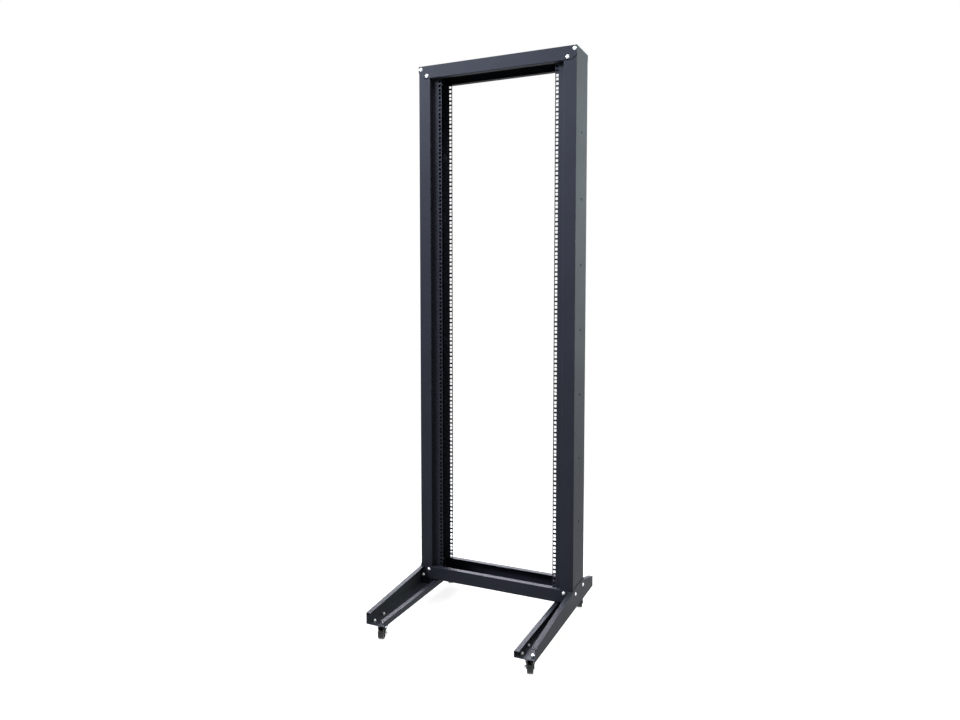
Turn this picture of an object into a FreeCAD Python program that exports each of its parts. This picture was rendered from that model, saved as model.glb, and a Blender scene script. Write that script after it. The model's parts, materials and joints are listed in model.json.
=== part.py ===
import FreeCAD, Part
import math
import os

from FreeCAD import Vector

# Two-post open frame rack for 19-inch equipment, standing on four swivel casters.
# Millimetres. +Z is up, +X is the viewer's right when facing the front, the front looks along -Y.
# The origin is on the floor in the middle of the footprint, so the posts stand behind it.

# Standard 19-inch rack pattern; the opening and the hole inset put the hole columns 465.12 apart
RACK_UNITS = 42
UNIT_HEIGHT = 44.45
HOLES_IN_UNIT = (6.35, 22.225, 38.1)
EQUIPMENT_OPENING = 450.0
HOLE_INSET = 7.56
SQUARE_HOLE = 9.5

# Folded sheet of the frame
SHEET = 2.0

# Posts: lipped channels with the web outside, and the rails set back inside the lips
POST_DEPTH = 130.0
POST_FACE = 48.0
RAIL_SETBACK = 20.0
RAIL_FACE = 37.0
WEB_HOLE_SPACING = 233.0
WEB_HOLE_COUNT = 7

# Top and base beams: the same lipped channel, one of them turned over
BEAM_HEIGHT = 48.0
BEAM_LIP = 19.0
BEAM_END_RADIUS = 30.0
UNIT_CLEARANCE = 3.5
BEAM_PLAY = 0.5

# Legs: lipped channels with a low inner wall and an outer wall that rises to the post
LEG_FRONT_REACH = 387.0
LEG_REAR_REACH = 121.0
LEG_WIDTH = 74.0
LEG_LIP = 17.0
LEG_INNER_WALL = 21.0
LEG_OUTER_END = 40.0
LEG_OUTER_POST = 72.0
LEG_TAB = 79.0
LEG_TO_BEAM = 25.0

# Casters; they stand turned by the same angle, in degrees, as the rack was last rolled
WHEEL_RADIUS = 20.0
WHEEL_WIDTH = 20.0
WHEEL_SHOULDER = 2.0
CASTER_HEIGHT = 55.0
CASTER_TRAIL = 28.0
CASTER_TURN = 18.0
CASTER_INSET = 54.0
CASTER_PLATE_WIDTH = 54.0
CASTER_PLATE_LENGTH = 72.0
CASTER_PLATE_THICKNESS = 2.5
CASTER_PLATE_CORNER = 5.0
RACE_RADIUS = 18.0
RACE_HEIGHT = 5.0
RACE_GAP = 0.5
FORK_SHEET = 2.5
CROWN_WIDTH = 40.0
CROWN_LENGTH = 40.0
CROWN_CORNER = 12.0
FORK_SHOULDER = 14.0
FORK_FOOT = 12.0
FORK_FOOT_CORNER = 3.5
AXLE_RADIUS = 3.0
SIDE_PLAY = 0.5
RUNNING_FIT = 0.05

# Small round pieces are drawn with few sides, because there are four of each
WHEEL_SIDES = 28
RACE_SIDES = 18
AXLE_SIDES = 12

# Places that follow from the driving dimensions
rail_inner = EQUIPMENT_OPENING / 2
hole_column = rail_inner + HOLE_INSET
lip_inner = rail_inner + RAIL_FACE
half_width = lip_inner + POST_FACE
half_depth = POST_DEPTH / 2
leg_outer = half_width + SHEET
leg_inner = leg_outer - LEG_WIDTH
leg_floor = CASTER_HEIGHT
leg_rear = half_depth + (LEG_FRONT_REACH + LEG_REAR_REACH) / 2
leg_front = -leg_rear
post_y = (LEG_FRONT_REACH - LEG_REAR_REACH) / 2
post_front = post_y - half_depth
post_back = post_y + half_depth
post_bottom = leg_floor + SHEET
base_bottom = leg_floor + LEG_TO_BEAM
base_top = base_bottom + BEAM_HEIGHT
units_bottom = base_top + UNIT_CLEARANCE
units_top = units_bottom + RACK_UNITS * UNIT_HEIGHT
top_bottom = units_top + UNIT_CLEARANCE
overall_height = top_bottom + BEAM_HEIGHT
post_top = overall_height - SHEET
caster_x = (leg_inner + leg_outer) / 2
caster_places = {
    "front_left": (-caster_x, leg_front + CASTER_INSET),
    "front_right": (caster_x, leg_front + CASTER_INSET),
    "rear_left": (-caster_x, leg_rear - CASTER_INSET),
    "rear_right": (caster_x, leg_rear - CASTER_INSET),
}


def box(x0, x1, y0, y1, z0, z1):
    return Part.makeBox(x1 - x0, y1 - y0, z1 - z0, Vector(x0, y0, z0))


def prism(points, direction):
    """Closed outline swept straight along a direction."""
    return Part.Face(Part.makePolygon(points + points[:1])).extrude(direction)


def folded(inside, thickness, direction):
    """Sheet bent along the polyline of its inside corners, then swept along a direction."""
    section = Part.makePolygon(inside).makeOffset2D(thickness, 0, True, True)
    return section.extrude(direction)


def regular(centre, across, up, radius, sides):
    """Regular outline of a few sides, one of them level, with its corners at the radius."""
    turns = [2 * math.pi * (corner + 0.5) / sides for corner in range(sides + 1)]
    return Part.makePolygon([
        centre + across * (radius * math.sin(turn)) - up * (radius * math.cos(turn)) for turn in turns
    ])


def around(radius, sides):
    """Corner radius of a regular outline whose sides just touch a circle of this radius."""
    return radius / math.cos(math.pi / sides)


def mirrored(shape, normal):
    """Mirror image across the plane through the posts' middle."""
    return shape.mirror(Vector(0, post_y, 0), normal)


# Posts and rails

def right_post():
    """Lipped channel: outer web, front and rear faces, and the lips that carry the rails."""
    web_inside = half_width - SHEET
    face_inside = half_depth - SHEET
    lip_inside = lip_inner + SHEET
    lip_end = half_depth - RAIL_SETBACK - SHEET
    section = [
        (lip_inside, -lip_end), (lip_inside, -face_inside), (web_inside, -face_inside),
        (web_inside, face_inside), (lip_inside, face_inside), (lip_inside, lip_end),
    ]
    inside = [Vector(x, post_y + y, post_bottom) for x, y in section]
    post = folded(inside, SHEET, Vector(0, 0, post_top - post_bottom))
    lowest = (units_bottom + units_top - WEB_HOLE_SPACING * (WEB_HOLE_COUNT - 1)) / 2
    half_hole = SQUARE_HOLE / 2
    holes = []
    for step in range(WEB_HOLE_COUNT):
        z = lowest + step * WEB_HOLE_SPACING
        holes.append(box(web_inside - SHEET, half_width + SHEET, post_y - half_hole, post_y + half_hole,
                         z - half_hole, z + half_hole))
    return post.cut(Part.makeCompound(holes))


def right_front_rail():
    """Strip welded along the inside of the post's lip, punched with the standard holes."""
    rail_front = post_front + RAIL_SETBACK
    strip = box(rail_inner, lip_inner, rail_front, rail_front + SHEET, base_top, top_bottom)
    half_hole = SQUARE_HOLE / 2
    holes = []
    for unit in range(RACK_UNITS):
        for offset in HOLES_IN_UNIT:
            z = units_bottom + unit * UNIT_HEIGHT + offset
            holes.append(box(hole_column - half_hole, hole_column + half_hole, rail_front - SHEET,
                             rail_front + 2 * SHEET, z - half_hole, z + half_hole))
    return strip.cut(Part.makeCompound(holes))


# Beams

def lipped_channel():
    """Upturned channel as wide as the rack, with its lips folded in over the trough."""
    face_bottom = base_bottom + SHEET
    face_top = base_top - SHEET
    section = [
        (post_front + BEAM_LIP, face_top), (post_front, face_top), (post_front, face_bottom),
        (post_back, face_bottom), (post_back, face_top), (post_back - BEAM_LIP, face_top),
    ]
    inside = [Vector(-half_width, y, z) for y, z in section]
    return folded(inside, SHEET, Vector(2 * half_width, 0, 0))


def end_notches(bottom):
    """What is cut away between the faces at both ends, from a level up, to let the posts in."""
    notch = box(lip_inner - BEAM_PLAY, leg_outer, post_front, post_back, bottom, base_top + SHEET)
    return [notch, mirrored(notch, Vector(1, 0, 0))]


def end_corners():
    """What is cut away outside the faces' rounded free corners at both ends."""
    across, up = Vector(BEAM_END_RADIUS, 0, 0), Vector(0, 0, BEAM_END_RADIUS)
    corner = Vector(half_width, post_front - SHEET, base_top)
    centre = corner - across - up
    halfway = (across + up).normalize() * BEAM_END_RADIUS
    arc = Part.Arc(centre + across, centre + halfway, centre + up).toShape()
    edges = [arc, Part.makeLine(corner - across, corner), Part.makeLine(corner, corner - up)]
    waste = Part.Face(Part.Wire(edges)).extrude(Vector(0, POST_DEPTH + 2 * SHEET, 0))
    return [waste, mirrored(waste, Vector(1, 0, 0))]


def base_beam():
    """Lipped channel between the posts, whose faces alone run on over them."""
    return lipped_channel().cut(end_notches(base_bottom - SHEET) + end_corners())


def top_beam():
    """The same channel turned over, with its web left whole to cover the ends of the posts."""
    beam = lipped_channel().cut(end_notches(base_bottom + SHEET) + end_corners())
    beam = mirrored(beam, Vector(0, 0, 1))
    beam.translate(Vector(0, 0, overall_height + base_bottom))
    return beam


# Legs

def right_leg():
    """Channel with a lipped inner wall and an outer wall cut to slope from the post to both ends."""
    inner_inside = leg_inner + SHEET
    inner_top = leg_floor + LEG_INNER_WALL - SHEET
    end_top = leg_floor + LEG_OUTER_END
    post_level = leg_floor + LEG_OUTER_POST
    tab_top = leg_floor + LEG_TAB
    section = [
        (half_width, tab_top), (half_width, post_bottom),
        (inner_inside, post_bottom), (inner_inside, inner_top), (leg_inner + LEG_LIP, inner_top),
    ]
    inside = [Vector(x, leg_front, z) for x, z in section]
    leg = folded(inside, SHEET, Vector(0, leg_rear - leg_front, 0))
    waste, lips = [], []
    for end, post_face in ((leg_front, post_front), (leg_rear, post_back)):
        low, high = Vector(half_width, end, end_top), Vector(half_width, post_face, post_level)
        over_post, over_end = Vector(half_width, post_face, tab_top), Vector(half_width, end, tab_top)
        waste.append(prism([low, high, over_post, over_end], Vector(SHEET, 0, 0)))
        lip_share = 1 - (SHEET + BEAM_PLAY) / abs(post_face - end)
        lip_stop = low + (high - low) * lip_share
        down = Vector(0, 0, -SHEET)
        lips.append(prism([low, lip_stop, lip_stop + down, low + down], Vector(SHEET - LEG_LIP, 0, 0)))
    return leg.cut(waste).fuse(lips).removeSplitter()


# Casters

def caster_plate(x, y):
    """Bolted top plate with the swivel race under it."""
    half_wide, half_long = CASTER_PLATE_WIDTH / 2, CASTER_PLATE_LENGTH / 2
    plate_bottom = leg_floor - CASTER_PLATE_THICKNESS
    plate = box(x - half_wide, x + half_wide, y - half_long, y + half_long, plate_bottom, leg_floor)
    uprights = [edge for edge in plate.Edges if edge.BoundBox.ZLength > CASTER_PLATE_THICKNESS / 2]
    plate = plate.makeChamfer(CASTER_PLATE_CORNER, uprights)
    rim = regular(Vector(x, y, plate_bottom), Vector(1, 0, 0), Vector(0, 1, 0), RACE_RADIUS, RACE_SIDES)
    race = Part.Face(rim).extrude(Vector(0, 0, -RACE_HEIGHT))
    return plate.fuse(race).removeSplitter()


def both_sides(middle, points):
    """Outline of points given by their distance to one side, then the same points back on the other side."""
    return [(middle - across, other) for across, other in points] + [
        (middle + across, other) for across, other in reversed(points)]


def caster_fork(x, y):
    """Strap folded over the wheel, wide at the crown, trimmed to raked arms, with the axle riveted in."""
    crown_top = leg_floor - CASTER_PLATE_THICKNESS - RACE_HEIGHT - RACE_GAP
    crown_inside = CROWN_WIDTH / 2 - FORK_SHEET
    crown_level = crown_top - FORK_SHEET
    arm_inside = WHEEL_WIDTH / 2 + SIDE_PLAY
    arm_outside = arm_inside + FORK_SHEET
    axle_y = y - CASTER_TRAIL
    half_foot = FORK_FOOT / 2
    foot_front, foot_rear = axle_y - half_foot, axle_y + half_foot
    foot_bottom = WHEEL_RADIUS - half_foot
    half_crown, half_long = CROWN_WIDTH / 2, CROWN_LENGTH / 2
    front, rear = y - half_long, y + half_long
    arm = [(arm_inside, foot_bottom), (arm_inside, crown_level - FORK_SHOULDER), (crown_inside, crown_level)]
    strap = folded([Vector(across, foot_front, z) for across, z in both_sides(x, arm)], FORK_SHEET,
                   Vector(0, rear - foot_front, 0))
    side_view = [
        (rear, crown_top), (front, crown_top),
        (foot_front, WHEEL_RADIUS), (foot_front, foot_bottom + FORK_FOOT_CORNER),
        (foot_front + FORK_FOOT_CORNER, foot_bottom), (foot_rear - FORK_FOOT_CORNER, foot_bottom),
        (foot_rear, foot_bottom + FORK_FOOT_CORNER), (foot_rear, WHEEL_RADIUS),
    ]
    raked = prism([Vector(x - half_crown, along, z) for along, z in side_view], Vector(CROWN_WIDTH, 0, 0))
    plan = [(arm_outside, foot_front), (half_crown, front + CROWN_CORNER), (half_crown, rear - CROWN_CORNER),
            (half_crown - CROWN_CORNER, rear)]
    rounded = prism([Vector(across, along, foot_bottom) for across, along in both_sides(x, plan)],
                    Vector(0, 0, crown_top - foot_bottom))
    end = regular(Vector(x - arm_inside, axle_y, WHEEL_RADIUS), Vector(0, 1, 0), Vector(0, 0, 1),
                  AXLE_RADIUS, AXLE_SIDES)
    axle = Part.Face(end).extrude(Vector(2 * arm_inside, 0, 0))
    return strap.common(raked).common(rounded).fuse(axle).removeSplitter()


def caster_wheel(x, y):
    """Wheel with bevelled shoulders, bored to run on the axle."""
    side = Vector(x - WHEEL_WIDTH / 2, y - CASTER_TRAIL, WHEEL_RADIUS)
    along, back, up = Vector(WHEEL_WIDTH, 0, 0), Vector(0, 1, 0), Vector(0, 0, 1)
    tread = regular(side, back, up, around(WHEEL_RADIUS, WHEEL_SIDES), WHEEL_SIDES)
    bore = regular(side, back, up, around(AXLE_RADIUS + RUNNING_FIT, AXLE_SIDES), AXLE_SIDES)
    wheel = Part.Face(tread).extrude(along)
    shoulders = [edge for edge in wheel.Edges if edge.BoundBox.XLength < WHEEL_WIDTH / 2]
    wheel = wheel.makeChamfer(WHEEL_SHOULDER, shoulders)
    return wheel.cut(Part.Face(bore).extrude(along))


def turned(piece, x, y):
    """Caster piece turned about its swivel axis to the way that the rack was last rolled."""
    piece.rotate(Vector(x, y, 0), Vector(0, 0, 1), CASTER_TURN)
    return piece


def build():
    left = Vector(1, 0, 0)
    rear = Vector(0, 1, 0)
    post, rail, leg = right_post(), right_front_rail(), right_leg()
    shapes = {
        "right_post": post,
        "left_post": mirrored(post, left),
        "right_front_rail": rail,
        "left_front_rail": mirrored(rail, left),
        "right_rear_rail": mirrored(rail, rear),
        "left_rear_rail": mirrored(mirrored(rail, rear), left),
        "top_beam": top_beam(),
        "base_beam": base_beam(),
        "right_leg": leg,
        "left_leg": mirrored(leg, left),
    }
    for corner, (x, y) in caster_places.items():
        shapes[corner + "_caster_plate"] = caster_plate(x, y)
        shapes[corner + "_caster_fork"] = turned(caster_fork(x, y), x, y)
        shapes[corner + "_caster_wheel"] = turned(caster_wheel(x, y), x, y)
    return shapes


os.makedirs("parts", exist_ok=True)
for name, shape in build().items():
    shape.exportStep("parts/" + name + ".step")
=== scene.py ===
import json
import math

import bmesh
import bpy
from bpy.props import FloatProperty, FloatVectorProperty, IntProperty, PointerProperty
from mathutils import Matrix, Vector


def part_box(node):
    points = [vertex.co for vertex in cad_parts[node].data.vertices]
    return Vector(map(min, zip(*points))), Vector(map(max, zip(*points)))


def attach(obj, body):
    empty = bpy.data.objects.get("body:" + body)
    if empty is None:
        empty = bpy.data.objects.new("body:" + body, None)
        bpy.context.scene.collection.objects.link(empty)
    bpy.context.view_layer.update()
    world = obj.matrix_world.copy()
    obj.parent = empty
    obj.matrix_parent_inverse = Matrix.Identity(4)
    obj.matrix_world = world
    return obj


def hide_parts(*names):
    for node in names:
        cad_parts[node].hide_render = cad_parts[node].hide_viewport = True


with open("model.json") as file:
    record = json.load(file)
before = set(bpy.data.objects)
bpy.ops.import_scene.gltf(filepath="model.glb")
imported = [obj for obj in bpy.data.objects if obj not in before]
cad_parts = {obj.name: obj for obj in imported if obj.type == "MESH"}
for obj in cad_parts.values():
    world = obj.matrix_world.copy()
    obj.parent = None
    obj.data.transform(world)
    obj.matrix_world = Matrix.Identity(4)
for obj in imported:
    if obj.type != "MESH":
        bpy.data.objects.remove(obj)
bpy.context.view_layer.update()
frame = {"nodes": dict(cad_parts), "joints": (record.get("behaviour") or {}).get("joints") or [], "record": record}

bl_info = {
    "name": "Two-post rack looks",
    "version": (1, 0, 0),
    "blender": (4, 5, 0),
    "location": "3D View > Sidebar > Rack",
    "description": "Finishes, fasteners, caster wheels and studio for a two-post open frame rack",
    "category": "Object",
}

MM = 0.001
BODY_OF = {
    node: body
    for body, nodes in frame["record"]["behaviour"]["bodies"].items()
    for node in nodes
}
SLOT_OF = {part["node"]: part["material_slot"] for part in frame["record"]["subparts"]}
CORNERS = ("front_left", "front_right", "rear_left", "rear_right")
FRAME_BODY = "frame"

# Places of the fasteners on the sheets that they hold
BEAM_BOLT_OUTER_INSET = 8.5 * MM
BEAM_BOLT_INNER_INSET = 34.0 * MM
BEAM_BOLT_EDGE = 11.3 * MM
LEG_BOLT_FROM_POST_FACES = (27.4 * MM, 10.5 * MM)
LEG_BOLT_DROP = 23.0 * MM
PLATE_BOLT_INSET = (9.0 * MM, 7.0 * MM)

# Thicknesses that the screws pass through; the reach is from a wheel's side to the outside of its fork
PLATE_THICKNESS = 2.5 * MM
FORK_ARM_REACH = 3.0 * MM
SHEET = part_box("right_front_rail")[1].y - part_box("right_front_rail")[0].y

# Clean-up of the solids' meshes: nearer points merge, flatter faces join and sharper edges are rounded
MERGE_DISTANCE = 0.001 * MM
FLAT_ANGLE = math.radians(0.5)
SHARP_ANGLE = math.radians(30)
EDGE_SEGMENTS = 2

# Slope and rounding at the foot of the wheels' dished sides
DISH_SLOPE = 1.0 * MM
DISH_ROUNDING = 1.0 * MM

# Fineness of the screws and nuts; the thread's depth is a share of its radius
HEAD_SIDES = 24
CHAMFER_SIDES = 36
THREAD_SIDES = 16
THREAD_TURNS = 14
THREAD_DEPTH = 0.12
SCREW_SHARP_ANGLE = math.radians(35)

# Values that a noise texture mostly keeps between
NOISE_LOW = 0.3
NOISE_HIGH = 0.7

# The studio: sensor in millimetres, floor in metres, with the distances between which its glow changes
WHITE = (1.0, 1.0, 1.0, 1.0)
SENSOR_WIDTH = 36.0
FLOOR_HALF_SIZE = 20.0
FLOOR_NEAR = 0.6
FLOOR_FAR = 3.5

# Soft boxes: name, place, aim, width, height, power in watts, colour and the grid's angle in degrees
SOFT_BOXES = (
    ("front_box", (-1.9, -1.8, 3.2), (0.75, 0.07, 1.7), 1.4, 0.7, 46.0, "#EAF1FF", 85.0),
    ("right_box", (1.9, 0.25, 2.0), (0.3, 0.13, 1.5), 0.4, 1.0, 23.0, "#F4FFEA", 84.0),
    ("rear_box", (-0.8, 1.65, 0.95), (0.0, -0.1, 0.1), 1.5, 0.5, 11.0, "#F6F4FF", 80.0),
    ("back_box", (-1.8, 2.4, 2.6), (0.0, 0.2, 1.4), 1.2, 1.2, 30.0, "#F4F8FF", 90.0),
    ("top_box", (0.2, -0.9, 3.9), (0.0, -0.1, 0.0), 1.0, 1.0, 25.0, "#FFFFFF", 180.0),
)


def linear(hex_colour):
    """The linear colour of an sRGB hex value such as "#2A2D33"."""
    parts = [int(hex_colour[i:i + 2], 16) / 255 for i in (1, 3, 5)]
    return [c / 12.92 if c <= 0.04045 else ((c + 0.055) / 1.055) ** 2.4 for c in parts]


def per_mm(size):
    """The scale of a pattern on Object coordinates, in metres, whose features are size mm wide."""
    return 1 / (size * MM)


def add_node(tree, kind, inputs=None, **settings):
    """Adds a node: settings are its own properties, inputs its sockets, each a value, socket or list."""
    made = tree.nodes.new(kind)
    for name, value in settings.items():
        setattr(made, name, value)
    for name, value in (inputs or {}).items():
        for each in value if isinstance(value, list) else [value]:
            if isinstance(each, bpy.types.NodeSocket):
                tree.links.new(each, made.inputs[name])
            else:
                made.inputs[name].default_value = each
    return made


# Settings


class RackFinishSettings(bpy.types.PropertyGroup):
    """Colours of the finishes and the rounding of the sheets' edges."""

    powder_black: FloatVectorProperty(
        name="Powder coat", description="Body colour of the black powder coat",
        subtype="COLOR", default=linear("#2D2F37"))
    powder_lighter: FloatVectorProperty(
        name="Powder coat, thin", description="Colour of the powder coat where it went on thinner",
        subtype="COLOR", default=linear("#363841"))
    # Painted highlight: a lighter colour put on the rounded cut edges, where they would catch the light
    powder_edge_highlight: FloatVectorProperty(
        name="Powder coat, edges", description="Colour of the coat where it draws back from cut edges",
        subtype="COLOR", default=linear("#4A4F5B"))
    zinc_bright: FloatVectorProperty(
        name="Zinc plate", description="Colour of the bright zinc plate on bolts and nuts",
        subtype="COLOR", default=linear("#F0F1F2"))
    zinc_dull: FloatVectorProperty(
        name="Zinc plate, dull", description="Colour of the zinc plate where it has dulled",
        subtype="COLOR", default=linear("#D2D5D8"))
    caster_black: FloatVectorProperty(
        name="Caster steel", description="Colour of the black plated caster pressings",
        subtype="COLOR", default=linear("#16171A"))
    wheel_black: FloatVectorProperty(
        name="Wheel nylon", description="Colour of the moulded wheels",
        subtype="COLOR", default=linear("#0E0F11"))
    sheet_edge: FloatProperty(
        name="Sheet edge", description="Rounding that the coat gives to the sheets' cut edges",
        subtype="DISTANCE", unit="LENGTH", default=0.45 * MM, min=0.0)
    pressing_edge: FloatProperty(
        name="Pressing edge", description="Rounding of the caster pressings' edges",
        subtype="DISTANCE", unit="LENGTH", default=0.4 * MM, min=0.0)


class RackFastenerSettings(bpy.types.PropertyGroup):
    """Sizes of the flanged button head screws and their nuts."""

    head_diameter: FloatProperty(
        name="Head diameter", description="Across the flange of the button head",
        subtype="DISTANCE", unit="LENGTH", default=13.6 * MM)
    dome_diameter: FloatProperty(
        name="Dome diameter", description="Across the dome where it meets the flange",
        subtype="DISTANCE", unit="LENGTH", default=11.4 * MM)
    head_height: FloatProperty(
        name="Head height", description="From the seat to the top of the dome",
        subtype="DISTANCE", unit="LENGTH", default=3.3 * MM)
    flange_height: FloatProperty(
        name="Flange height", description="Thickness of the head's flange at its rim",
        subtype="DISTANCE", unit="LENGTH", default=0.9 * MM)
    socket_width: FloatProperty(
        name="Socket width", description="Across the flats of the hexagon socket",
        subtype="DISTANCE", unit="LENGTH", default=4.0 * MM)
    nut_width: FloatProperty(
        name="Nut width", description="Across the flats of the nut",
        subtype="DISTANCE", unit="LENGTH", default=10.0 * MM)
    nut_height: FloatProperty(
        name="Nut height", description="From the nut's seat to its outer face",
        subtype="DISTANCE", unit="LENGTH", default=5.0 * MM)
    thread_diameter: FloatProperty(
        name="Thread diameter", description="Outer diameter of the screw's thread",
        subtype="DISTANCE", unit="LENGTH", default=6.0 * MM)
    thread_reach: FloatProperty(
        name="Thread reach", description="How far the screw's end stands out of the nut",
        subtype="DISTANCE", unit="LENGTH", default=3.5 * MM)
    turn_seed: IntProperty(
        name="Turn seed", description="Seed of the turn at which each screw was tightened", default=7)


class RackWheelSettings(bpy.types.PropertyGroup):
    """Sizes of the moulded caster wheels that the solids leave plain."""

    width: FloatProperty(
        name="Width", description="From side to side of the wheel",
        subtype="DISTANCE", unit="LENGTH", default=20.0 * MM)
    shoulder: FloatProperty(
        name="Shoulder", description="Rounding between tread and side",
        subtype="DISTANCE", unit="LENGTH", default=2.4 * MM)
    bore_radius: FloatProperty(
        name="Bore radius", description="Radius of the bore, which runs free on the axle",
        subtype="DISTANCE", unit="LENGTH", default=3.2 * MM)
    hub_radius: FloatProperty(
        name="Hub radius", description="Radius of the hub boss on each side",
        subtype="DISTANCE", unit="LENGTH", default=6.4 * MM)
    rim_width: FloatProperty(
        name="Rim width", description="Width of the flat ring inside the shoulder",
        subtype="DISTANCE", unit="LENGTH", default=2.6 * MM)
    recess_depth: FloatProperty(
        name="Recess depth", description="Depth of the dish between hub and rim",
        subtype="DISTANCE", unit="LENGTH", default=3.2 * MM)
    edge: FloatProperty(
        name="Edge", description="Rounding of the moulding's small edges",
        subtype="DISTANCE", unit="LENGTH", default=0.5 * MM)
    sides: IntProperty(name="Sides", description="Segments round the wheel", default=72, min=24)


class RackStageSettings(bpy.types.PropertyGroup):
    """Camera and light of the studio."""

    camera_place: FloatVectorProperty(
        name="Camera place", description="Where the camera stands",
        subtype="TRANSLATION", unit="LENGTH", default=(1.0728, -2.3939, 1.2184))
    camera_turn: FloatProperty(
        name="Camera turn", description="Turn of the camera to the left of straight ahead",
        subtype="ANGLE", default=math.radians(24.636))
    camera_dip: FloatProperty(
        name="Camera dip", description="How far the camera looks down",
        subtype="ANGLE", default=math.radians(3.438))
    focal_length: FloatProperty(
        name="Focal length", description="Focal length in millimetres, on a sensor 36 mm wide",
        default=27.37)
    shift: FloatProperty(
        name="Shift", description="Vertical shift of the lens, in sensor widths", default=-0.03)
    ambient: FloatProperty(
        name="Ambient", description="Strength of the soft light from all round", default=0.10)
    floor_pale: FloatVectorProperty(
        name="Floor", description="Colour of the studio floor", subtype="COLOR", default=linear("#A3A3A2"))
    floor_lift_near: FloatProperty(
        name="Floor lift, near",
        description="Glow of the seen floor round the rack, where the lamps reach",
        default=0.86)
    floor_lift_far: FloatProperty(
        name="Floor lift, far", description="Glow of the seen floor far off, which brings it up to white",
        default=0.98)


# Materials


def new_material(name):
    """A material with an empty tree that ends in a Principled shader, and the two of them."""
    material = bpy.data.materials.new(name)
    material.use_nodes = True
    tree = material.node_tree
    tree.nodes.clear()
    shader = add_node(tree, "ShaderNodeBsdfPrincipled")
    add_node(tree, "ShaderNodeOutputMaterial", {"Surface": shader.outputs["BSDF"]})
    return material, tree, shader


def powder_coat(name, finish):
    """Black polyester powder coat on folded sheet steel, sprayed dry and baked.

    To the eye it is a satin blue-black with a faint orange peel, a little lighter where the coat is thin,
    and the sheets below are not quite flat, so reflections waver along them.
    """
    material, tree, shader = new_material(name)
    place = add_node(tree, "ShaderNodeTexCoord").outputs["Object"]
    cloud = add_node(tree, "ShaderNodeTexNoise", {"Vector": place, "Scale": per_mm(120), "Detail": 3.0})
    tone = add_node(tree, "ShaderNodeMix", {
        "Factor": cloud.outputs["Fac"],
        "A": (*finish.powder_black, 1.0),
        "B": (*finish.powder_lighter, 1.0)}, data_type="RGBA")
    # On the rounded cut edges the coat is painted lighter: a painted highlight where the edges would catch the
    # light
    edge = add_node(tree, "ShaderNodeAttribute", attribute_name="rounded_edge")
    edge_highlighted = add_node(tree, "ShaderNodeMix", {
        "Factor": edge.outputs["Fac"],
        "A": tone.outputs["Result"],
        "B": (*finish.powder_edge_highlight, 1.0)}, data_type="RGBA")
    # Orange peel is about 1.5 mm from dimple to dimple; drawn at 3 mm so that it shows
    peel = add_node(tree, "ShaderNodeTexNoise", {"Vector": place, "Scale": per_mm(3.0), "Detail": 2.0})
    gloss = add_node(tree, "ShaderNodeMapRange", {
        "Value": peel.outputs["Fac"], "From Min": NOISE_LOW, "From Max": NOISE_HIGH,
        "To Min": 0.52, "To Max": 0.58})
    wave = add_node(tree, "ShaderNodeTexNoise", {"Vector": place, "Scale": per_mm(180), "Detail": 1.0})
    waver = add_node(tree, "ShaderNodeBump", {
        "Height": wave.outputs["Fac"], "Strength": 1.0, "Distance": 0.6 * MM})
    dimples = add_node(tree, "ShaderNodeBump", {
        "Height": peel.outputs["Fac"], "Strength": 0.25, "Distance": 0.06 * MM,
        "Normal": waver.outputs["Normal"]})
    for socket, value in (("Base Color", edge_highlighted.outputs["Result"]), ("Roughness", gloss.outputs["Result"]),
                          ("Normal", dimples.outputs["Normal"])):
        tree.links.new(value, shader.inputs[socket])
    shader.inputs["IOR"].default_value = 1.5
    shader.inputs["Specular IOR Level"].default_value = 0.09
    return material


def zinc_plate(name, finish):
    """Bright zinc plate on steel screws and nuts, barrel plated and passivated.

    To the eye it is a bright cold silver that mirrors softly, with duller patches a few millimetres wide.
    """
    material, tree, shader = new_material(name)
    place = add_node(tree, "ShaderNodeTexCoord").outputs["Object"]
    patch = add_node(tree, "ShaderNodeTexNoise", {"Vector": place, "Scale": per_mm(4.0), "Detail": 3.0})
    tone = add_node(tree, "ShaderNodeMix", {
        "Factor": patch.outputs["Fac"],
        "A": (*finish.zinc_bright, 1.0),
        "B": (*finish.zinc_dull, 1.0)}, data_type="RGBA")
    gloss = add_node(tree, "ShaderNodeMapRange", {
        "Value": patch.outputs["Fac"], "From Min": NOISE_LOW, "From Max": NOISE_HIGH,
        "To Min": 0.34, "To Max": 0.46})
    tree.links.new(tone.outputs["Result"], shader.inputs["Base Color"])
    tree.links.new(gloss.outputs["Result"], shader.inputs["Roughness"])
    shader.inputs["Metallic"].default_value = 1.0
    return material


def caster_steel(name, finish):
    """Pressed steel with a thin black electrocoat.

    To the eye it is a tighter, glossier black than the powder coat, with the faint drag of the press.
    """
    material, tree, shader = new_material(name)
    place = add_node(tree, "ShaderNodeTexCoord").outputs["Object"]
    drag = add_node(tree, "ShaderNodeMapping", {"Vector": place, "Scale": (1.0, 1.0, 0.15)})
    grain = add_node(tree, "ShaderNodeTexNoise", {
        "Vector": drag.outputs["Vector"], "Scale": per_mm(1.2), "Detail": 3.0})
    tone = add_node(tree, "ShaderNodeMix", {
        "Factor": grain.outputs["Fac"],
        "A": (*finish.caster_black, 1.0),
        "B": (*finish.powder_lighter, 1.0)}, data_type="RGBA")
    gloss = add_node(tree, "ShaderNodeMapRange", {
        "Value": grain.outputs["Fac"], "From Min": NOISE_LOW, "From Max": NOISE_HIGH,
        "To Min": 0.28, "To Max": 0.42})
    relief = add_node(tree, "ShaderNodeBump", {
        "Height": grain.outputs["Fac"], "Strength": 0.25, "Distance": 0.05 * MM})
    for socket, value in (("Base Color", tone.outputs["Result"]), ("Roughness", gloss.outputs["Result"]),
                          ("Normal", relief.outputs["Normal"])):
        tree.links.new(value, shader.inputs[socket])
    shader.inputs["IOR"].default_value = 1.52
    shader.inputs["Specular IOR Level"].default_value = 0.3
    return material


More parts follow.
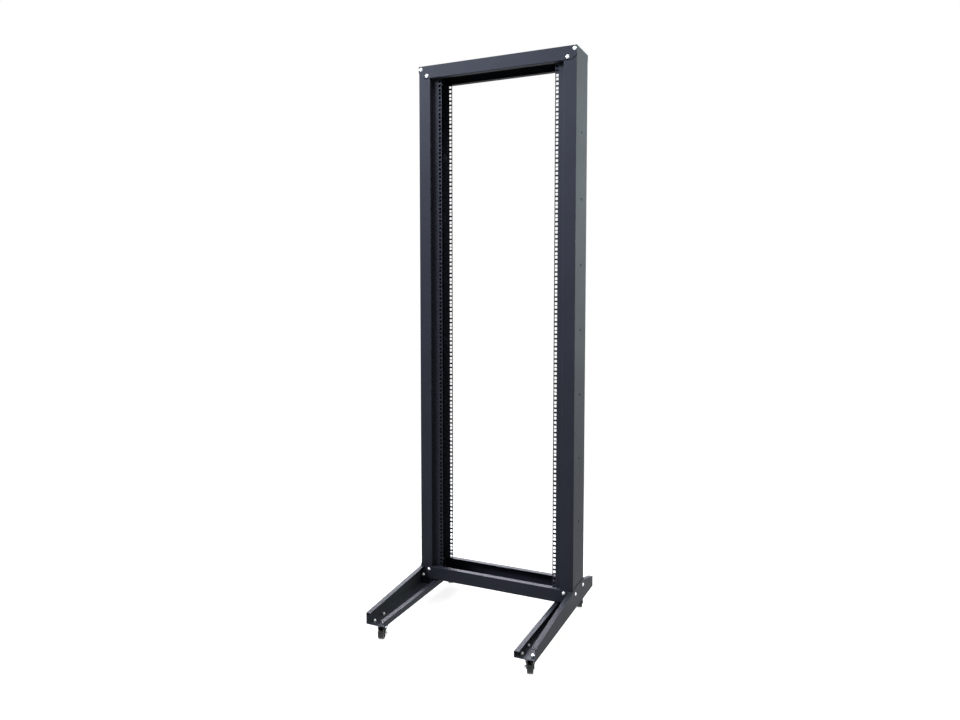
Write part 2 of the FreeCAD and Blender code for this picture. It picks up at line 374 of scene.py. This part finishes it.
def wheel_nylon(name, finish):
    """Black nylon, injection moulded.

    To the eye it is a deep black with a wet-looking gloss, fogged a little where the tread has rolled.
    """
    material, tree, shader = new_material(name)
    place = add_node(tree, "ShaderNodeTexCoord").outputs["Object"]
    fog = add_node(tree, "ShaderNodeTexNoise", {"Vector": place, "Scale": per_mm(6.0), "Detail": 4.0})
    gloss = add_node(tree, "ShaderNodeMapRange", {
        "Value": fog.outputs["Fac"], "From Min": NOISE_LOW, "From Max": NOISE_HIGH,
        "To Min": 0.18, "To Max": 0.34})
    tone = add_node(tree, "ShaderNodeMix", {
        "Factor": fog.outputs["Fac"],
        "A": (*finish.wheel_black, 1.0),
        "B": (*finish.caster_black, 1.0)}, data_type="RGBA")
    relief = add_node(tree, "ShaderNodeBump", {
        "Height": fog.outputs["Fac"], "Strength": 0.2, "Distance": 0.08 * MM})
    for socket, value in (("Base Color", tone.outputs["Result"]), ("Roughness", gloss.outputs["Result"]),
                          ("Normal", relief.outputs["Normal"])):
        tree.links.new(value, shader.inputs[socket])
    shader.inputs["IOR"].default_value = 1.53
    shader.inputs["Specular IOR Level"].default_value = 0.4
    return material


def finished(name, maker):
    """The material of that name, made once."""
    return bpy.data.materials.get(name) or maker(name, bpy.context.scene.rack_finish)


# Pieces


def new_piece(name, mesh, material, body):
    """An object at the origin with its place in its mesh, which rides on a body."""
    piece = bpy.data.objects.new(name, mesh)
    bpy.context.scene.collection.objects.link(piece)
    mesh.materials.clear()
    mesh.materials.append(material)
    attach(piece, body)
    return piece


def smooth_faces(piece):
    """Shades the piece smooth, with normals that follow its large faces, so that only its edges turn."""
    piece.data.shade_smooth()
    weighted = piece.modifiers.new("even_faces", "WEIGHTED_NORMAL")
    weighted.mode = "FACE_AREA"
    weighted.keep_sharp = True


def softened(node, edge):
    """A copy of a solid's mesh, merged, its flat faces made whole and its sharp edges rounded."""
    made = bmesh.new()
    made.from_mesh(frame["nodes"][node].data)
    # The rounded faces are marked for the painted highlight that the powder coat puts on them
    rounded = made.faces.layers.float.new("rounded_edge")
    bmesh.ops.remove_doubles(made, verts=made.verts, dist=MERGE_DISTANCE)
    bmesh.ops.dissolve_limit(made, angle_limit=FLAT_ANGLE, verts=made.verts, edges=made.edges)
    sharp = [e for e in made.edges if len(e.link_faces) == 2 and e.calc_face_angle() > SHARP_ANGLE]
    rounding = bmesh.ops.bevel(made, geom=sharp, offset=edge, segments=EDGE_SEGMENTS, profile=0.5,
                               affect="EDGES", clamp_overlap=True, loop_slide=False)
    for face in rounding["faces"]:
        face[rounded] = 1.0
    mesh = bpy.data.meshes.new(node + "_mesh")
    made.to_mesh(mesh)
    made.free()
    return mesh


def stand_in(node, name, mesh, material):
    """A smooth piece with this mesh that stands for a solid."""
    piece = new_piece(name, mesh, material, BODY_OF[node])
    smooth_faces(piece)
    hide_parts(node)


class RACK_OT_frame_sheets(bpy.types.Operator):
    """Posts, rails, beams and legs: folded sheets with softened edges in powder coat"""

    bl_idname = "rack.frame_sheets"
    bl_label = "Frame sheets"

    def execute(self, context):
        finish = context.scene.rack_finish
        coat = finished("powder_coat_satin_black", powder_coat)
        for node in frame["nodes"]:
            if SLOT_OF[node] == "black_powder_coat":
                stand_in(node, node + "_sheet", softened(node, finish.sheet_edge), coat)
        return {"FINISHED"}


class RACK_OT_caster_pressings(bpy.types.Operator):
    """Caster plates and forks: pressings with softened edges in black electrocoat"""

    bl_idname = "rack.caster_pressings"
    bl_label = "Caster pressings"

    def execute(self, context):
        finish = context.scene.rack_finish
        steel = finished("electrocoated_pressed_steel", caster_steel)
        for node in frame["nodes"]:
            if SLOT_OF[node] == "caster_steel":
                stand_in(node, node + "_pressing", softened(node, finish.pressing_edge), steel)
        return {"FINISHED"}


def rounded_outline(corners, steps=6):
    """The closed outline through corners of (across, radius, rounding), each an arc of that rounding."""
    outline = []
    for i, (across, up, rounding) in enumerate(corners):
        here = Vector((across, up))
        before = (Vector(corners[i - 1][:2]) - here).normalized()
        after = (Vector(corners[(i + 1) % len(corners)][:2]) - here).normalized()
        if rounding == 0:
            outline.append(here)
            continue
        half = before.angle(after) / 2
        centre = here + (before + after).normalized() * rounding / math.sin(half)
        start = (here + before * rounding / math.tan(half) - centre).normalized()
        end = (here + after * rounding / math.tan(half) - centre).normalized()
        for step in range(steps + 1):
            outline.append(centre + start.slerp(end, step / steps) * rounding)
    return outline


def axle_of(corner):
    """The middle of a caster's wheel and the direction of its axle, to the right."""
    spin = next(joint for joint in frame["joints"] if joint["name"] == corner + "_wheel_spin")
    return Vector(spin["pos_m"]), Vector(spin["axis"]).normalized()


def turned(name, outline, middle, along, sides):
    """The mesh of a closed outline of (across, radius) turned about a level axle through its middle."""
    made = bmesh.new()
    up = Vector((0, 0, 1))
    back = up.cross(along)
    rings = []
    for i in range(sides):
        angle = 2 * math.pi * i / sides
        out = back * math.cos(angle) + up * math.sin(angle)
        rings.append([made.verts.new(middle + along * p.x + out * p.y) for p in outline])
    for i, ring in enumerate(rings):
        beside = rings[(i + 1) % sides]
        for j in range(len(outline)):
            k = (j + 1) % len(outline)
            made.faces.new((ring[j], ring[k], beside[k], beside[j]))
    bmesh.ops.recalc_face_normals(made, faces=made.faces)
    mesh = bpy.data.meshes.new(name + "_mesh")
    made.to_mesh(mesh)
    made.free()
    return mesh


class RACK_OT_caster_wheels(bpy.types.Operator):
    """Moulded caster wheels: rounded tread, dished sides and a hub boss on a bored axle"""

    bl_idname = "rack.caster_wheels"
    bl_label = "Caster wheels"

    def execute(self, context):
        wheel = context.scene.rack_wheel
        nylon = finished("moulded_black_nylon", wheel_nylon)
        for corner in CORNERS:
            node = corner + "_caster_wheel"
            middle, along = axle_of(corner)
            half = wheel.width / 2
            radius = middle.z
            rim = radius - wheel.shoulder - wheel.rim_width
            floor = half - wheel.recess_depth
            side = [(half, wheel.bore_radius, 0), (half, wheel.hub_radius, wheel.edge),
                    (floor, wheel.hub_radius + DISH_SLOPE, DISH_ROUNDING),
                    (floor, rim - DISH_SLOPE, DISH_ROUNDING), (half, rim, wheel.edge),
                    (half, radius, wheel.shoulder)]
            corners = side + [(-across, up, rounding) for across, up, rounding in reversed(side)]
            mesh = turned(node, rounded_outline(corners), middle, along, wheel.sides)
            stand_in(node, node + "_moulding", mesh, nylon)
        return {"FINISHED"}


# Fasteners


def fastener_tree():
    """Geometry Nodes that set a button head screw with its nut at each point, its head towards "along"."""
    tree = bpy.data.node_groups.new("screws_and_nuts", "GeometryNodeTree")
    tree.interface.new_socket("Geometry", in_out="INPUT", socket_type="NodeSocketGeometry")
    for name in ("Head Radius", "Dome Radius", "Head Height", "Flange Height", "Socket Radius",
                 "Nut Radius", "Nut Chamfer", "Nut Height", "Thread Radius", "Thread Length", "Grip"):
        tree.interface.new_socket(name, in_out="INPUT", socket_type="NodeSocketFloat")
    tree.interface.new_socket("Turn Seed", in_out="INPUT", socket_type="NodeSocketInt")
    tree.interface.new_socket("Plating", in_out="INPUT", socket_type="NodeSocketMaterial")
    tree.interface.new_socket("Geometry", in_out="OUTPUT", socket_type="NodeSocketGeometry")
    given = add_node(tree, "NodeGroupInput").outputs
    place = add_node(tree, "GeometryNodeInputPosition").outputs[0]

    # The head: half a ball flattened to a dome, on a flange, with a hexagon socket cut from its top.
    # The lower half of a unit ball is brought up to its middle, and the other limits lie outside the ball.
    ball = add_node(tree, "GeometryNodeMeshUVSphere", {
        "Segments": HEAD_SIDES, "Rings": HEAD_SIDES // 2, "Radius": 1.0})
    upper = add_node(tree, "ShaderNodeVectorMath", {0: place, 1: (-2.0, -2.0, 0.0)}, operation="MAXIMUM")
    half_ball = add_node(tree, "GeometryNodeSetPosition", {
        "Geometry": ball.outputs["Mesh"], "Position": upper.outputs[0]})
    dome_size = add_node(tree, "ShaderNodeCombineXYZ", {
        "X": given["Dome Radius"], "Y": given["Dome Radius"], "Z": given["Head Height"]})
    dome = add_node(tree, "GeometryNodeTransform", {
        "Geometry": half_ball.outputs["Geometry"], "Scale": dome_size.outputs[0]})
    flange = add_node(tree, "GeometryNodeMeshCone", {
        "Vertices": HEAD_SIDES, "Radius Bottom": given["Head Radius"], "Radius Top": given["Dome Radius"],
        "Depth": given["Flange Height"]})
    solid_head = add_node(tree, "GeometryNodeMeshBoolean", {
        "Mesh 2": [dome.outputs["Geometry"], flange.outputs["Mesh"]]}, operation="UNION", solver="EXACT")
    socket = add_node(tree, "GeometryNodeMeshCylinder", {
        "Vertices": 6, "Radius": given["Socket Radius"], "Depth": given["Head Height"]})
    head_top = add_node(tree, "ShaderNodeCombineXYZ", {"Z": given["Head Height"]})
    socket_up = add_node(tree, "GeometryNodeTransform", {
        "Geometry": socket.outputs["Mesh"], "Translation": head_top.outputs[0]})
    head = add_node(tree, "GeometryNodeMeshBoolean", {
        "Mesh 1": solid_head.outputs["Mesh"], "Mesh 2": socket_up.outputs["Geometry"]},
        operation="DIFFERENCE", solver="EXACT")

    # The nut: a hexagon with the corners of its outer end turned off, seated at the far end of the grip
    hexagon = add_node(tree, "GeometryNodeMeshCylinder", {
        "Vertices": 6, "Radius": given["Nut Radius"], "Depth": given["Nut Height"]})
    nut_middle = add_node(tree, "ShaderNodeMath", {0: given["Nut Height"], 1: 0.5}, operation="MULTIPLY")
    nut_lift = add_node(tree, "ShaderNodeCombineXYZ", {"Z": nut_middle.outputs[0]})
    hexagon_up = add_node(tree, "GeometryNodeTransform", {
        "Geometry": hexagon.outputs["Mesh"], "Translation": nut_lift.outputs[0]})
    chamfer = add_node(tree, "GeometryNodeMeshCone", {
        "Vertices": CHAMFER_SIDES, "Radius Bottom": given["Nut Chamfer"], "Depth": given["Nut Chamfer"]})
    nut = add_node(tree, "GeometryNodeMeshBoolean", {
        "Mesh 2": [hexagon_up.outputs["Geometry"], chamfer.outputs["Mesh"]]},
        operation="INTERSECT", solver="EXACT")

    # The thread's end: every other ring of the rod is drawn in, for the turns of the thread
    rod = add_node(tree, "GeometryNodeMeshCylinder", {
        "Vertices": THREAD_SIDES, "Side Segments": THREAD_TURNS, "Radius": given["Thread Radius"],
        "Depth": given["Thread Length"]})
    height = add_node(tree, "ShaderNodeSeparateXYZ", {0: place})
    share = add_node(tree, "ShaderNodeMath", {
        0: height.outputs["Z"], 1: given["Thread Length"]}, operation="DIVIDE")
    steps = add_node(tree, "ShaderNodeMath", {
        0: share.outputs[0], 1: float(THREAD_TURNS)}, operation="MULTIPLY")
    ring = add_node(tree, "ShaderNodeMath", {0: steps.outputs[0]}, operation="ROUND")
    odd = add_node(tree, "ShaderNodeMath", {0: ring.outputs[0], 1: 1.0}, operation="PINGPONG")
    drawn_in = add_node(tree, "ShaderNodeMath", {
        0: odd.outputs[0], 1: -THREAD_DEPTH, 2: 1.0}, operation="MULTIPLY_ADD")
    narrow = add_node(tree, "ShaderNodeCombineXYZ", {
        "X": drawn_in.outputs[0], "Y": drawn_in.outputs[0], "Z": 1.0})
    threaded = add_node(tree, "ShaderNodeVectorMath", {
        0: place, 1: narrow.outputs[0]}, operation="MULTIPLY")
    screw = add_node(tree, "GeometryNodeSetPosition", {
        "Geometry": rod.outputs["Mesh"], "Position": threaded.outputs[0]})
    screw_middle = add_node(tree, "ShaderNodeMath", {
        0: given["Thread Length"], 1: 0.5}, operation="MULTIPLY")
    screw_lift = add_node(tree, "ShaderNodeCombineXYZ", {"Z": screw_middle.outputs[0]})
    screw_up = add_node(tree, "GeometryNodeTransform", {
        "Geometry": screw.outputs["Geometry"], "Translation": screw_lift.outputs[0]})
    nut_and_end = add_node(tree, "GeometryNodeJoinGeometry", {
        0: [nut.outputs["Mesh"], screw_up.outputs["Geometry"]]})
    behind = add_node(tree, "ShaderNodeMath", {0: given["Grip"], 1: -1.0}, operation="MULTIPLY")
    far_side = add_node(tree, "ShaderNodeCombineXYZ", {"Z": behind.outputs[0]})
    far_end = add_node(tree, "GeometryNodeTransform", {
        "Geometry": nut_and_end.outputs[0], "Translation": far_side.outputs[0],
        "Rotation": (math.pi, 0.0, 0.0)})
    fastener = add_node(tree, "GeometryNodeJoinGeometry", {
        0: [head.outputs["Mesh"], far_end.outputs["Geometry"]]})

    # One at each point, turned as the spanner left it
    along = add_node(tree, "GeometryNodeInputNamedAttribute", {"Name": "along"}, data_type="FLOAT_VECTOR")
    aimed = add_node(tree, "FunctionNodeAlignRotationToVector", {
        "Vector": along.outputs["Attribute"]}, axis="Z")
    turn = add_node(tree, "FunctionNodeRandomValue", {
        "Min": 0.0, "Max": math.pi, "Seed": given["Turn Seed"]}, data_type="FLOAT")
    tightened = add_node(tree, "FunctionNodeAxisAngleToRotation", {
        "Axis": (0.0, 0.0, 1.0), "Angle": turn.outputs["Value"]})
    spun = add_node(tree, "FunctionNodeRotateRotation", {
        "Rotation": aimed.outputs[0], "Rotate By": tightened.outputs[0]}, rotation_space="LOCAL")
    placed = add_node(tree, "GeometryNodeInstanceOnPoints", {
        "Points": given["Geometry"], "Instance": fastener.outputs[0], "Rotation": spun.outputs[0]})
    real = add_node(tree, "GeometryNodeRealizeInstances", {0: placed.outputs[0]})
    plated = add_node(tree, "GeometryNodeSetMaterial", {
        "Geometry": real.outputs[0], "Material": given["Plating"]})
    add_node(tree, "NodeGroupOutput", {"Geometry": plated.outputs[0]})
    return tree


def fasteners(name, body, seats, grip):
    """Screws and nuts, as one plain mesh, at seats of (place, direction of the head) through a grip."""
    sizes = bpy.context.scene.rack_fastener
    tree = bpy.data.node_groups.get("screws_and_nuts") or fastener_tree()
    points = bpy.data.meshes.new(name + "_seats")
    places, directions = zip(*seats)
    points.from_pydata(places, [], [])
    heads = points.attributes.new("along", "FLOAT_VECTOR", "POINT")
    for head, along in zip(heads.data, directions):
        head.vector = along
    piece = bpy.data.objects.new(name, points)
    bpy.context.scene.collection.objects.link(piece)
    modifier = piece.modifiers.new("screws_and_nuts", "NODES")
    modifier.node_group = tree
    given = {
        "Head Radius": sizes.head_diameter / 2,
        "Dome Radius": sizes.dome_diameter / 2,
        "Head Height": sizes.head_height,
        "Flange Height": sizes.flange_height,
        "Socket Radius": sizes.socket_width / math.sqrt(3),
        "Nut Radius": sizes.nut_width / math.sqrt(3),
        "Nut Chamfer": sizes.nut_width / 2 + sizes.nut_height,
        "Nut Height": sizes.nut_height,
        "Thread Radius": sizes.thread_diameter / 2,
        "Thread Length": sizes.nut_height + sizes.thread_reach,
        "Grip": grip,
        "Turn Seed": sizes.turn_seed,
        "Plating": finished("zinc_plated_steel", zinc_plate),
    }
    for socket in tree.interface.items_tree:
        if socket.in_out == "INPUT" and socket.name in given:
            modifier[socket.identifier] = given[socket.name]
    graph = bpy.context.evaluated_depsgraph_get()
    mesh = bpy.data.meshes.new_from_object(piece.evaluated_get(graph), depsgraph=graph)
    piece.modifiers.remove(modifier)
    piece.data = mesh
    mesh.name = name + "_mesh"
    mesh.shade_smooth()
    mesh.set_sharp_from_angle(angle=SCREW_SHARP_ANGLE)
    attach(piece, body)


def beam_seats():
    """Two screws at each end of each beam's front and rear face."""
    seats = []
    for beam in ("base_beam", "top_beam"):
        low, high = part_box(beam)
        web_side, free_side = (low.z, high.z) if beam == "base_beam" else (high.z, low.z)
        inward = math.copysign(BEAM_BOLT_EDGE, free_side - web_side)
        for face, along in ((low.y, -1), (high.y, 1)):
            for side in (-1, 1):
                outer = side * (high.x - BEAM_BOLT_OUTER_INSET)
                inner = side * (high.x - BEAM_BOLT_INNER_INSET)
                seats.append((Vector((outer, face, web_side + inward)), Vector((0, along, 0))))
                seats.append((Vector((inner, face, free_side - inward)), Vector((0, along, 0))))
    return seats


def leg_seats():
    """Two screws through each leg's tab into its post's web."""
    seats = []
    for side in ("left", "right"):
        sign = -1 if side == "left" else 1
        leg_low, leg_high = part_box(side + "_leg")
        post_low, post_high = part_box(side + "_post")
        outside = leg_low.x if side == "left" else leg_high.x
        front, rear = LEG_BOLT_FROM_POST_FACES
        for y in (post_low.y + front, post_high.y - rear):
            seats.append((Vector((outside, y, leg_high.z - LEG_BOLT_DROP)), Vector((sign, 0, 0))))
    return seats


def plate_seats():
    """Four screws up through each caster plate into its leg's floor, heads below."""
    seats = []
    across, along = PLATE_BOLT_INSET
    for corner in CORNERS:
        low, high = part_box(corner + "_caster_plate")
        under = high.z - PLATE_THICKNESS
        for x in (low.x + across, high.x - across):
            for y in (low.y + along, high.y - along):
                seats.append((Vector((x, y, under)), Vector((0, 0, -1))))
    return seats


class RACK_OT_frame_screws(bpy.types.Operator):
    """Zinc plated screws and nuts that hold beams, posts, legs and caster plates together"""

    bl_idname = "rack.frame_screws"
    bl_label = "Frame screws"

    def execute(self, context):
        fasteners("frame_screws", FRAME_BODY, beam_seats() + leg_seats(), 2 * SHEET)
        fasteners("caster_plate_screws", FRAME_BODY, plate_seats(), SHEET + PLATE_THICKNESS)
        return {"FINISHED"}


class RACK_OT_axle_screws(bpy.types.Operator):
    """Zinc plated screw and nut on each caster's axle"""

    bl_idname = "rack.axle_screws"
    bl_label = "Axle screws"

    def execute(self, context):
        for corner in CORNERS:
            middle, along = axle_of(corner)
            away = along if middle.x > 0 else -along
            half_grip = context.scene.rack_wheel.width / 2 + FORK_ARM_REACH
            fasteners(corner + "_axle_screw", BODY_OF[corner + "_caster_fork"],
                      [(middle + away * half_grip, away)], 2 * half_grip)
        return {"FINISHED"}


# Stage


def seen_by_eye(tree):
    """1 for rays that the camera, a gloss or glass follows, which see the white background."""
    path = add_node(tree, "ShaderNodeLightPath").outputs
    gloss = add_node(tree, "ShaderNodeMath", {
        0: path["Is Camera Ray"], 1: path["Is Glossy Ray"]}, operation="MAXIMUM")
    return add_node(tree, "ShaderNodeMath", {
        0: gloss.outputs[0], 1: path["Is Transmission Ray"]}, operation="MAXIMUM").outputs[0]


def white_world(stage):
    """Soft light from all round, in front of a white background."""
    world = bpy.data.worlds.new("studio_white")
    world.use_nodes = True
    tree = world.node_tree
    tree.nodes.clear()
    light = add_node(tree, "ShaderNodeBackground", {"Color": WHITE, "Strength": stage.ambient})
    white = add_node(tree, "ShaderNodeBackground", {"Color": WHITE, "Strength": 1.0})
    mixed = add_node(tree, "ShaderNodeMixShader", {
        0: seen_by_eye(tree), 1: light.outputs[0], 2: white.outputs[0]})
    add_node(tree, "ShaderNodeOutputWorld", {"Surface": mixed.outputs[0]})
    bpy.context.scene.world = world


def studio_floor(stage):
    """A pale paper floor that takes the shadow and otherwise meets the white background without a line."""
    made = bmesh.new()
    bmesh.ops.create_grid(made, x_segments=1, y_segments=1, size=FLOOR_HALF_SIZE)
    mesh = bpy.data.meshes.new("studio_floor_mesh")
    made.to_mesh(mesh)
    made.free()
    floor = bpy.data.objects.new("studio_floor", mesh)
    bpy.context.scene.collection.objects.link(floor)
    material = bpy.data.materials.new("pale_paper")
    material.use_nodes = True
    tree = material.node_tree
    tree.nodes.clear()
    paper = add_node(tree, "ShaderNodeBsdfDiffuse", {"Color": (*stage.floor_pale, 1.0)})
    place = add_node(tree, "ShaderNodeTexCoord").outputs["Object"]
    away = add_node(tree, "ShaderNodeVectorMath", {0: place}, operation="LENGTH")
    lift = add_node(tree, "ShaderNodeMapRange", {
        "Value": away.outputs["Value"], "From Min": FLOOR_NEAR, "From Max": FLOOR_FAR,
        "To Min": stage.floor_lift_near, "To Max": stage.floor_lift_far}, interpolation_type="SMOOTHSTEP")
    seen = add_node(tree, "ShaderNodeMath", {
        0: seen_by_eye(tree), 1: lift.outputs["Result"]}, operation="MULTIPLY")
    glow = add_node(tree, "ShaderNodeEmission", {"Color": WHITE, "Strength": seen.outputs[0]})
    both = add_node(tree, "ShaderNodeAddShader", {0: paper.outputs[0], 1: glow.outputs[0]})
    add_node(tree, "ShaderNodeOutputMaterial", {"Surface": both.outputs[0]})
    mesh.materials.append(material)


def soft_light(name, place, aim, width, height, power, colour, grid):
    """A soft box at a place, aimed at a point, whose grid keeps its light within an angle in degrees."""
    lamp = bpy.data.lights.new(name, "AREA")
    lamp.shape = "RECTANGLE"
    lamp.size = width
    lamp.size_y = height
    lamp.energy = power
    lamp.color = linear(colour)
    lamp.spread = math.radians(grid)
    box = bpy.data.objects.new(name, lamp)
    box.location = place
    box.visible_camera = False
    box.rotation_euler = (Vector(aim) - Vector(place)).to_track_quat("-Z", "Y").to_euler()
    bpy.context.scene.collection.objects.link(box)


class RACK_OT_studio(bpy.types.Operator):
    """Camera, soft boxes, white background and pale floor"""

    bl_idname = "rack.studio"
    bl_label = "Studio"

    def execute(self, context):
        stage = context.scene.rack_stage
        context.scene.view_settings.view_transform = "Standard"
        white_world(stage)
        studio_floor(stage)
        for box in SOFT_BOXES:
            soft_light(*box)
        lens = bpy.data.cameras.new("studio_camera")
        lens.sensor_width = SENSOR_WIDTH
        lens.lens = stage.focal_length
        lens.shift_y = stage.shift
        camera = bpy.data.objects.new("studio_camera", lens)
        camera.location = stage.camera_place
        camera.rotation_euler = (math.pi / 2 - stage.camera_dip, 0.0, stage.camera_turn)
        context.scene.collection.objects.link(camera)
        context.scene.camera = camera
        return {"FINISHED"}


class RACK_PT_looks(bpy.types.Panel):
    """Settings and steps of the rack's looks"""

    bl_idname = "RACK_PT_looks"
    bl_label = "Two-post rack"
    bl_space_type = "VIEW_3D"
    bl_region_type = "UI"
    bl_category = "Rack"

    def draw(self, context):
        for settings in SETTINGS:
            box = self.layout.box()
            group = getattr(context.scene, settings)
            for name in group.bl_rna.properties.keys():
                if name not in ("rna_type", "name"):
                    box.prop(group, name)
        for operator in OPERATORS:
            self.layout.operator(operator.bl_idname)


SETTINGS = {
    "rack_finish": RackFinishSettings,
    "rack_fastener": RackFastenerSettings,
    "rack_wheel": RackWheelSettings,
    "rack_stage": RackStageSettings,
}
OPERATORS = (RACK_OT_frame_sheets, RACK_OT_caster_pressings, RACK_OT_caster_wheels, RACK_OT_frame_screws,
             RACK_OT_axle_screws, RACK_OT_studio)
CLASSES = (*SETTINGS.values(), *OPERATORS, RACK_PT_looks)


def register():
    for each in CLASSES:
        bpy.utils.register_class(each)
    for name, group in SETTINGS.items():
        setattr(bpy.types.Scene, name, PointerProperty(type=group))


def unregister():
    for name in SETTINGS:
        delattr(bpy.types.Scene, name)
    for each in reversed(CLASSES):
        bpy.utils.unregister_class(each)


def main():
    register()
    bpy.ops.rack.frame_sheets()
    bpy.ops.rack.caster_pressings()
    bpy.ops.rack.caster_wheels()
    bpy.ops.rack.frame_screws()
    bpy.ops.rack.axle_screws()
    bpy.ops.rack.studio()


if __name__ == "__main__":
    main()
